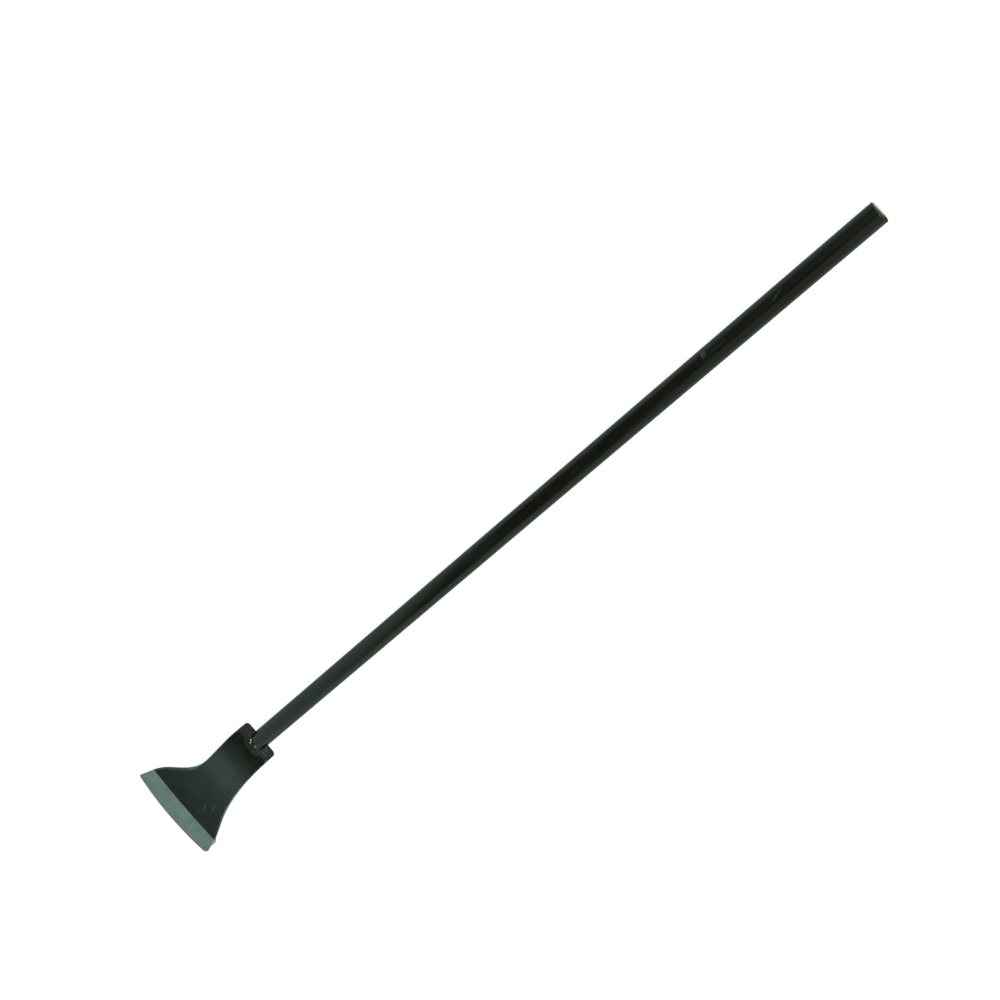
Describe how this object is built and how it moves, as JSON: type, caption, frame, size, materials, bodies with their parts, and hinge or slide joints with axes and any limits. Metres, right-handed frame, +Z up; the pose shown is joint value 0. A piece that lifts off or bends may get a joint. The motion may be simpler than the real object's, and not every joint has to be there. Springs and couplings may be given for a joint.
{
  "type": "grub hoe",
  "caption": "Straight long-handled grubbing hoe: a flared wedge blade with a ground bevel, in line with and welded to an open steel tube handle.",
  "frame": {"origin": "centre of the tool's box in plan, on the surface it lies on", "axes": "+X along the handle away from the blade, +Y across the blade, +Z up out of the head's front face; the tube's axis is parallel to X at y = 0, z = 15 mm"},
  "size_m": [1.36, 0.1548, 0.0303],
  "materials": {
    "blade_enamel": "gloss black enamel, with the cutting bevels left as bare ground steel",
    "tube_enamel": "gloss black enamel over drawn steel tube",
    "weld_enamel": "gloss black enamel over rippled weld bead"
  },
  "bodies": {
    "root": {"blade_head": "blade_enamel", "lower_tube": "tube_enamel", "upper_tube": "tube_enamel", "splice_weld": "weld_enamel", "head_weld_fillet": "weld_enamel", "front_weld_lobe": "weld_enamel", "rear_weld_lobe": "weld_enamel"}
  },
  "joints": []
}
